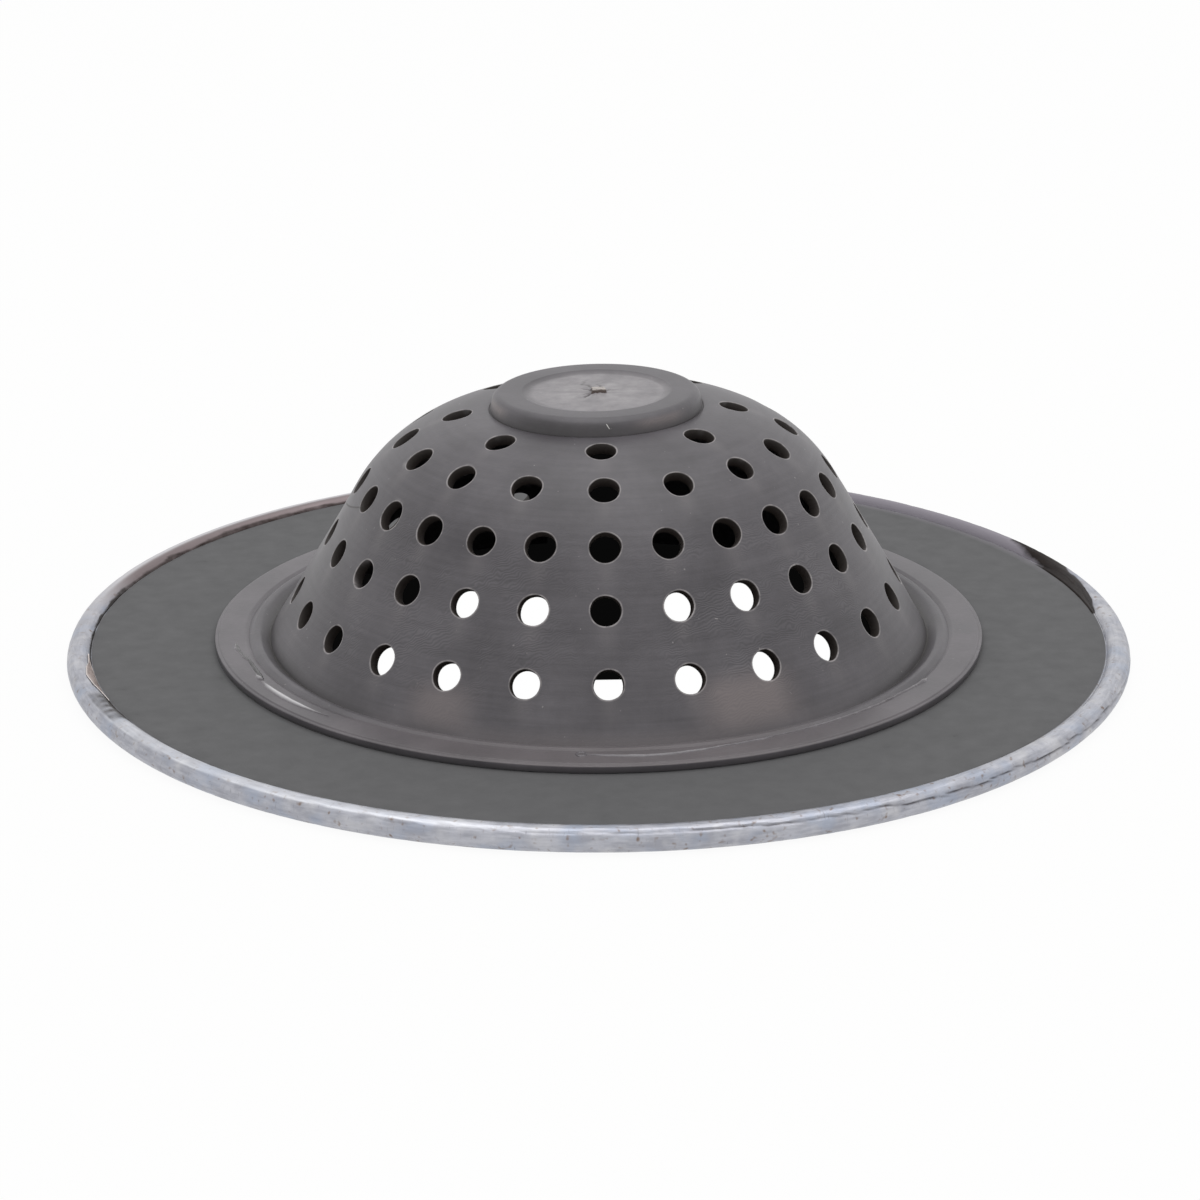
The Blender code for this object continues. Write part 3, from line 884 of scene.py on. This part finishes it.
def shapeBead(piece):
    # two soft facets that meet in a ridge, a wavy raw edge, and small dents from the rolling
    points, radius, degrees = getPolar(piece)
    angle = np.radians(degrees)
    out, up = radius - beadCentre[0], points[:, 2] - beadCentre[1]
    reach = np.hypot(out, up)
    turn = np.degrees(np.arctan2(out, up))  # 0 is straight up, 90 is outward
    bead = radius > 54.35

    def rove(scale, seed):
        return wander(np.cos(angle) * scale, np.sin(angle) * scale, seed)

    skin = smooth(rim["bead"] - rim["sheet"] / 2, rim["bead"] - 0.05, reach) * bead
    ridge = rim["ridgeTurn"] + rove(9, 3.1) * 7 + rove(30, 5.7) * 6
    above = np.clip((turn + 20) / (ridge + 20), 0, 1)
    below = np.clip((100 - turn) / (100 - ridge), 0, 1)
    side = np.sin(math.pi * np.where(turn < ridge, above, below)) ** 2
    dip = rim["facetDip"] * side * ((turn > -20) & (turn < 100)) * skin
    # a fold runs along the front of the bead, below a wavy lip, where the tool pressed the sheet
    strong = np.clip(bump(degrees, -52, 55) * 1.6 + 0.5 * bump(degrees, -100, 35), 0, 1)
    line = 44 + 24 * smooth(-80, -54, degrees) + 12 * smooth(-45, -22, degrees)
    line += rove(10, 1.2) * 16 + rove(34, 6.1) * 10
    fold = np.exp(-((turn - line) / 5.0) ** 2) - 0.6 * np.exp(-((turn - line + 13) / 7.0) ** 2)
    dip += rim["foldDip"] * strong * fold * skin
    dents = np.maximum(wander(*(points * 1.1 + (0, 0, 40)).T), 0) * rim["dentDip"] * skin
    newReach = reach - np.maximum(dip, 0) - dents
    # the raw edge of the curl wanders a little, and stands open at the back right
    edge = smooth(-15, -50, turn) * (turn < 0) * (up > -0.2) * bead
    push = np.maximum(rove(6, 8.3) * 2 + rove(26, 2.2) * 2, -0.3)
    push += (34 + 16 * rove(40, 7.7)) * bump(degrees, 13, 12)
    newTurn = np.radians(turn + edge * push)
    newUp = np.where(bead, newReach * np.cos(newTurn), up)
    radius = beadCentre[0] + np.where(bead, newReach * np.sin(newTurn), out)
    z = np.maximum(beadCentre[1] + newUp, 0.002)
    setPolar(piece, radius, degrees, z)
    # masks for the steel: brown stain and painted shade up to a limit that changes round the bead,
    # beginning softly at the back right on top of the bead
    upper = bead & (up > -0.6)
    limit = np.interp(degrees, *zip(*rim["stainAndShadeLimit"])) + rove(24, 4.4) * 12
    gap = (radius > 54.2) & (z > 0.9) & (degrees > -3) & (degrees < 29)
    begin = 1 - smooth(20.5, 28.5, degrees - (turn + 40) / 9) * (degrees > 15) * (degrees < 60)
    begin *= 1 - 0.36 * between(degrees, 95, 105, 160, 172)
    # a wrinkled patch at the left
    wrinkled = bump(degrees, -156.8, 6.0, 2) * smooth(-2, -14, turn - ridge - 6) * (upper | (radius > 54.3))
    comb = 0.62 + 0.22 * np.sin(degrees * 3.4 + turn * 0.05 + 6 * rove(20, 1.9)) + 0.5 * rove(70, 9.9)
    inner = 0.45 + 0.75 * smooth(10, -45, turn)
    # a painted highlight on the ridge between the facets at the left, and a painted shade line in the fold
    bright = bump(degrees, -128, 38, 2.5) + 0.35 * bump(degrees, -20, 45)
    facet = smooth(-48, -28, turn) * smooth(5, -5, turn - ridge)
    crest = np.maximum(0.6 * np.exp(-((turn - ridge) / 4.5) ** 2), 0.3 * facet)
    dark = strong * (0.55 + 0.45 * smooth(-88, -64, degrees)) * np.exp(-((turn - line) / 3.5) ** 2)
    # painted shade at the back right, greyer and duller there, a painted highlight at the back left, and tan
    # towards the curl's edge there
    flatPart = (radius > 53.7) & (z > 0.9)
    setMasks(piece, stain=(upper | gap) * smooth(7, -7, turn - limit) * begin,
             wrinkle=np.clip(wrinkled * comb * inner * 1.8, 0, 1),
             ridgeLine=bright * crest * skin, foldLine=dark * skin,
             backGrey=flatPart * (1 - 0.62 * (radius < 54.3)) * bump(degrees, 50, 42, 3.2),
             backBright=upper * smooth(-45, -25, turn) * bump(degrees, 130, 62, 1.8),
             backTan=upper * smooth(6, -20, turn) * between(degrees, 85, 100, 158, 174))


def buildRim():
    piece = turnLoops("steelRim", rimPath(), rim["steps"])
    closeLoops(piece)
    shapeBead(piece)
    return piece


def buildBurr():
    # a torn flap of the sheet's raw edge, folded over on the bead's inner side at the left
    flap, share, across, (angle, middle, half) = gridStrip("rimBurr", 60, 10, rim["burr"])
    turn = np.radians(middle + across * half)
    curl = wander(angle * 0.5, across * 1.5, 3.0)
    reach = rim["bead"] + rim["burrLift"] + 0.05 * across ** 2 + 0.04 * curl
    setPolar(flap, beadCentre[0] + reach * np.sin(turn), angle, beadCentre[1] + reach * np.cos(turn))
    setMasks(flap, hem=np.maximum(np.abs(across) ** 6, smooth(0.9, 1.0, np.abs(2 * share - 1))))
    thicken(flap, rim["burrSheet"])
    faceOutward(flap)
    return flap


# materials. A pattern of noise is (scale or stretch, detail, roughness), with scales per metre, and a
# range is (value, from, to, low, high)

plastic = {
    "base": "#535054", "light": "#5e5b5f", "dark": "#474448",
    # the edge colour is a painted highlight round the holes' rims and also the tone of dust specks; the hole-wall
    # colour is painted shade inside the holes
    "edge": "#a39e9e", "holeWall": "#2c2623", "streak": "#6c686a", "rubbed": "#7a7272",
    # the crack colour is the cracks' tone and also painted shade in the crease at the foot, on the front of the
    # pad's side and in the groove at the pad's foot
    "disc": "#8f8b8e", "discRay": "#a09c9e", "sideWall": "#2f2d2f", "crack": "#2a2725",
    "roughness": 0.42, "wallRoughness": 0.6, "bump": 0.4,
    "patterns": {
        "cloud": (130.0, 5.0, 0.5),  # patches of about 8 mm
        "fleck": (1250.0, 3.0, 0.5),  # specks of about 0.8 mm
        "lines": ((90, 90, 2400), 3.0, 0.6),  # flow lines 0.4 mm apart, drawn long round the axis
        "dust": (2600.0, 0.0, 0.5),  # a few specks, 0.15 mm across
        "blotch": (420.0, 4.0, 0.65),  # the disc's mottling, 2.5 mm
        "grain": (3600.0, 2.0, 0.5),  # 0.3 mm
    },
    # a weld line at the left, and a scratch on the pad's side, each an arc through its middle round a
    # far centre: middle, centre, reach, half width, tone
    "hairlines": (((-26.35, -2.26, 17.21), (-26, 7.9, 59), 4.5, 0.085, "#26211f"),
                  ((0.62, -11.03, 28.25), (17.2, -11.03, 39.4), 0.3, 0.035, "#d9d7d4")),
}

ringPlastic = {
    **plastic, "base": "#5c585c", "light": "#686468", "dark": "#4f4c50",
    "edge": "#8f8b8c", "holeWall": "#2e2723", "streak": "#787476", "rubbed": "#736c6c",
    # the side-wall colour is painted shade on the ring's outer side
    "sideWall": "#4b494b", "roughness": 0.40, "hairlines": (),
}

tornPlastic = {
    "dark": "#8c847f", "light": "#b9b1ab", "low": "#4a3c37", "shine": "#c6c3c5",
    "smoothest": 0.18, "roughest": 0.42, "bump": 0.5,
}

flashPlastic = {
    "dark": "#5c585c", "light": "#6c686c", "low": "#1f1d1e", "shine": "#d4d2d4",
    "smoothest": 0.16, "roughest": 0.34, "bump": 0.15,
}

steel = {
    "flat": "#6f6f70", "beadDark": "#9a9ba3", "beadLight": "#b4b5bc", "stain": "#120d0a",
    "stainAndShadeLight": "#2e251f", "foldLine": "#454144", "ridgeLine": "#eceef2", "wrinkle": "#2b2523",
    "bluish": "#94a0b4", "pale": "#c9c8c9", "speck": "#75604f", "scratch": "#77757a",
    "backGrey": "#97939a", "backBright": "#c2c0c3", "backTan": "#7d7374",
    "burr": "#a39590", "burrDark": "#84756f", "burrHem": "#dcd5d2",
    "flatRoughness": 0.85, "beadRoughness": 0.46,
    "patterns": {
        "blotch": (420.0, 5.0, 0.6),  # 2 to 3 mm
        "patch": (260.0, 3.0, 0.55),  # bluish and pale patches, 4 mm
        "pit": (1500.0, 1.0, 0.5),  # 0.3 mm
        "rolled": ((300, 5000, 300), 2.0, 0.5),  # faint rolling grain of the flat, 0.2 mm wide
    },
    "beadPatterns": {
        "scuff": ((450, 3000, 3000), 4.0, 0.6),  # drawn out along the bead, 2 mm long and 0.3 mm wide
        "scratch": ((5200, 1000, 1000), 2.0, 0.5),  # short scratches across the bead
    },
}


def newFinish(name, values, patterns, maskNames):
    # a material with its place on the part, its patterns of noise, and the masks drawn on the mesh
    material, add, shader = newMaterial(name, values)
    place, noises = add("TexCoord", give="Object"), {}
    addPatterns(add, place, patterns, noises)
    masks = {key: add("Attribute", give="Fac", attribute_name=key) for key in maskNames.split()}
    return material, add, shader, place, noises, masks


def addPatterns(add, place, patterns, noises):
    for key, (scale, detail, roughness) in patterns.items():
        spot = place
        if isinstance(scale, tuple):
            spot, scale = add("Mapping", {"Vector": place, "Scale": scale}), 1.0
        noises[key] = add("TexNoise", {"Vector": spot, "Scale": scale, "Detail": detail, "Roughness": roughness})


def addRows(add, kind, rows, **settings):
    # a node of this kind for each row, which lists its first inputs in their order
    return {key: add(kind, dict(enumerate(row)), **settings) for key, row in rows.items()}


def polypropyleneMoulded(name, colours):
    # dark grey polypropylene, injection moulded: an even satin skin with faint flow lines
    material, add, shader, place, noises, masks = newFinish(
        name, {}, colours["patterns"], "rippleZone rubbed crack rays holeStreak holeEdge holeWall sideWall")
    level = add("Mapping", {"Vector": place, "Scale": (1, 1, 0)})
    reach = add("VectorMath", {0: level}, "Value", operation="LENGTH")
    # fine wavy ripples about 0.3 mm apart, strong in the painted zones
    slanted = add("Mapping", {"Vector": place, "Rotation": (0.5, 0.35, 0)})
    ripple = add("TexWave", {"Vector": slanted, "Scale": 1000.0, "Distortion": 17.0, "Detail": 1.0,
                             "Detail Scale": 0.7}, 1, bands_direction="Z")
    ranges = addRows(add, "MapRange", {
        "base": (noises["cloud"], 0.30, 0.50), "light": (noises["cloud"], 0.50, 0.70),
        "zone": (masks["rippleZone"], 0, 1, 0.1, 1.3),
        "dust": (noises["dust"], 0.86, 0.89, 0, 0.5),
        "hatch": (ripple, 0, 1, 0.78, 1.0),
        "low": (reach, 7.9 * mm, 6.8 * mm),
        "high": (add("SeparateXYZ", {0: place}, "Z"), 28.3 * mm, 28.5 * mm),
        "mottled": (noises["blotch"], 0.3, 0.7, 0.45, 1.0),
        "broken": (noises["fleck"], 0.35, 0.6, 0.25, 0.85),
        "rough": (noises["cloud"], 0, 1, colours["roughness"] - 0.09, colours["roughness"] + 0.1)})
    shares = addRows(add, "Math", {
        "ripples": (ripple, ranges["zone"]), "flow": (noises["lines"], 0.6),
        "streak": (masks["holeStreak"], 0.42), "rubbed": (masks["rubbed"], ranges["hatch"]),
        "zone": (masks["rippleZone"], 0.16), "inside": (ranges["low"], ranges["high"]),
        "lip": (masks["holeEdge"], ranges["broken"])}, operation="MULTIPLY")
    disc = add("Math", {0: shares["inside"], 1: ranges["mottled"]}, operation="MULTIPLY")
    colour = layOver(add, colours["dark"], [
        *[(ranges[key], colours[key]) for key in ("base", "light")],
        (0.30, noises["lines"], "SOFT_LIGHT"), (0.12, noises["fleck"], "OVERLAY"),
        (ranges["dust"], colours["edge"]),
        (shares["streak"], colours["streak"]),  # paler below the holes
        # paler fans, paler collar and ring at the front, and painted highlights on the pad's side
        (shares["rubbed"], colours["rubbed"]), (shares["zone"], ripple, "SOFT_LIGHT"),
        (disc, layOver(add, colours["disc"], [(masks["rays"], colours["discRay"])])),
        # cracks, and painted shade in the crease, on the pad's front side and in its foot groove
        (masks["crack"], colours["crack"])])
    for middle, centre, length, wide, tone in colours["hairlines"]:
        middle, centre = Vector(middle) * mm, Vector(centre) * mm
        near, far = (add("VectorMath", {0: place, 1: spot}, "Value", operation="DISTANCE")
                     for spot in (middle, centre))
        onLine = add("Math", {0: far, 1: (middle - centre).length, 2: wide * mm}, operation="COMPARE")
        here = add("Math", {0: near, 1: length * mm}, operation="LESS_THAN")
        colour = layOver(add, colour, [(add("Math", {0: onLine, 1: here}, operation="MULTIPLY"), tone)])
    # a thin painted highlight runs round each hole's rim, the cut through the wall is painted a dull dark brown as
    # painted shade inside the holes, and the ring's side is painted darker than its face, as painted shade under
    # the overhang of its edge
    colour = layOver(add, colour, [(shares["lip"], colours["edge"]),
                                   *[(masks[key], colours[key]) for key in ("holeWall", "sideWall")]])
    rough = add("Mix", {0: masks["holeWall"], 2: ranges["rough"], 3: colours["wallRoughness"]})
    height = shares["flow"]
    for relief in (shares["ripples"], noises["grain"]):
        height = add("Math", {0: height, 1: relief}, operation="ADD")
    normal = add("Bump", {"Height": height, "Strength": colours["bump"], "Distance": 0.03 * mm})
    feed(shader, {"Base Color": colour, "Roughness": rough, "Normal": normal})
    return material


def polypropyleneTorn(name, colours):
    # the same plastic where it was torn or squeezed out: paler, and glossy where it set against the tool, with a
    # painted highlight along the crests
    material, add, shader, place, noises, masks = newFinish(
        name, {}, {"fleck": (1400.0, 3.0, 0.5)}, "lowPart shine")
    fleck = noises["fleck"]
    ranges = addRows(add, "MapRange", {
        "tone": (fleck, 0.35, 0.65), "rough": (fleck, 0, 1, colours["smoothest"], colours["roughest"])})
    colour = layOver(add, colours["dark"], [
        (ranges["tone"], colours["light"]), (masks["lowPart"], colours["low"]),
        (masks["shine"], colours["shine"])])
    normal = add("Bump", {"Height": fleck, "Strength": colours["bump"], "Distance": 0.04 * mm})
    feed(shader, {"Base Color": colour, "Roughness": ranges["rough"], "Normal": normal})
    return material


def stainlessRolled():
    # stainless steel sheet: satin grey on the flat, burnished and scuffed by the rolling tool on the bead
    material, add, shader, place, noises, masks = newFinish(
        "stainlessRolled", {"Metallic": 1.0}, steel["patterns"],
        "stain backGrey backBright backTan foldLine ridgeLine wrinkle")
    parts = add("SeparateXYZ", {0: place}).node.outputs
    level = add("Mapping", {"Vector": place, "Scale": (1, 1, 0)})
    reach = add("VectorMath", {0: level}, "Value", operation="LENGTH")
    # run along the bead, in metres, counted from the front; its seam is at the back
    back = add("Math", {0: parts["Y"], 1: -1.0}, operation="MULTIPLY")
    turn = add("Math", {0: parts["X"], 1: back}, operation="ARCTAN2")
    along = add("Math", {0: turn, 1: 55.7 * mm}, operation="MULTIPLY")
    polar = add("CombineXYZ", {0: along, 1: reach, 2: parts["Z"]})
    addPatterns(add, polar, steel["beadPatterns"], noises)
    both = add("Math", {0: noises["scuff"], 1: noises["blotch"]}, operation="ADD")
    ragged = add("Math", {0: noises["blotch"], 1: 0.5}, operation="SUBTRACT")
    stain = add("Math", {0: masks["stain"], 1: ragged}, operation="ADD")
    onBead = add("MapRange", {0: reach, 1: 54.25 * mm, 2: 54.4 * mm})
    ranges = addRows(add, "MapRange", {
        "beadLight": (both, 0.8, 1.2),
        "bluish": (noises["patch"], 0.52, 0.66, 0, 0.42),
        "pale": (noises["patch"], 0.46, 0.34, 0, 0.45),
        "speck": (noises["pit"], 0.64, 0.82, 0, 0.9),
        "scratch": (noises["scratch"], 0.66, 0.76, 0, 0.5),
        "stain": (stain, 0.2, 0.8, 0, 0.95),
        "rough": (onBead, 0, 1, steel["flatRoughness"], steel["beadRoughness"])})
    shares = {**masks, **{key: ranges[key] for key in ("beadLight", "bluish", "pale", "speck", "scratch")}}
    shares.update(addRows(add, "Math", {
        "foldLine": (masks["foldLine"], 0.9), "ridgeLine": (masks["ridgeLine"], 0.85),
        "wrinkle": (masks["wrinkle"], 0.9), "spread": (ragged, 0.25)}, operation="MULTIPLY"))
    bead = layOver(add, steel["beadDark"], [(shares[key], steel[key]) for key in (
        "beadLight", "bluish", "pale", "speck", "scratch", "foldLine", "ridgeLine", "wrinkle",
        "backBright", "backTan")])
    flat = layOver(add, steel["flat"], [(0.015, noises["rolled"], "OVERLAY")])
    brown = layOver(add, steel["stain"], [(noises["scuff"], steel["stainAndShadeLight"])])
    colour = layOver(add, flat, [(onBead, bead), (masks["backGrey"], steel["backGrey"]), (ranges["stain"], brown)])
    rough = add("Math", {0: ranges["rough"], 1: shares["spread"]}, operation="ADD")
    dull = add("Mix", {0: masks["backGrey"], 2: rough, 3: steel["flatRoughness"]})
    height = add("Math", {0: both, 1: onBead}, operation="MULTIPLY")
    normal = add("Bump", {"Height": height, "Strength": 0.6, "Distance": 0.06 * mm})
    feed(shader, {"Base Color": colour, "Roughness": dull, "Normal": normal})
    return material


def stainlessTorn():
    # the same sheet where its raw edge tore: tan, with dark wrinkles
    material, add, shader, place, _, masks = newFinish("stainlessTorn", {"Metallic": 1.0}, {}, "hem")
    crease = add("TexNoise", {"Vector": place, "Scale": 900.0, "Detail": 3.0, "Distortion": 1.0})  # 1.1 mm
    ranges = addRows(add, "MapRange", {"tone": (crease, 0.35, 0.6), "rough": (crease, 0, 1, 0.35, 0.6)})
    colour = layOver(add, steel["burrDark"], [(ranges["tone"], steel["burr"]), (masks["hem"], steel["burrHem"])])
    normal = add("Bump", {"Height": crease, "Strength": 0.5, "Distance": 0.05 * mm})
    feed(shader, {"Base Color": colour, "Roughness": ranges["rough"], "Normal": normal})
    return material


basketFinish = polypropyleneMoulded("polypropyleneBasket", plastic)
finishPiece(buildBasket(), "strainer_basket", basketFinish)
finishPiece(buildStub(), None, polypropyleneTorn("polypropyleneTornGate", tornPlastic))
ringFinish = polypropyleneMoulded("polypropyleneRing", ringPlastic)
finishPiece(buildRing(), "retaining_ring", ringFinish)
finishPiece(buildFlash(), None, polypropyleneTorn("polypropyleneSqueezed", flashPlastic))
finishPiece(buildRim(), "steel_rim", stainlessRolled())
finishPiece(buildBurr(), None, stainlessTorn())
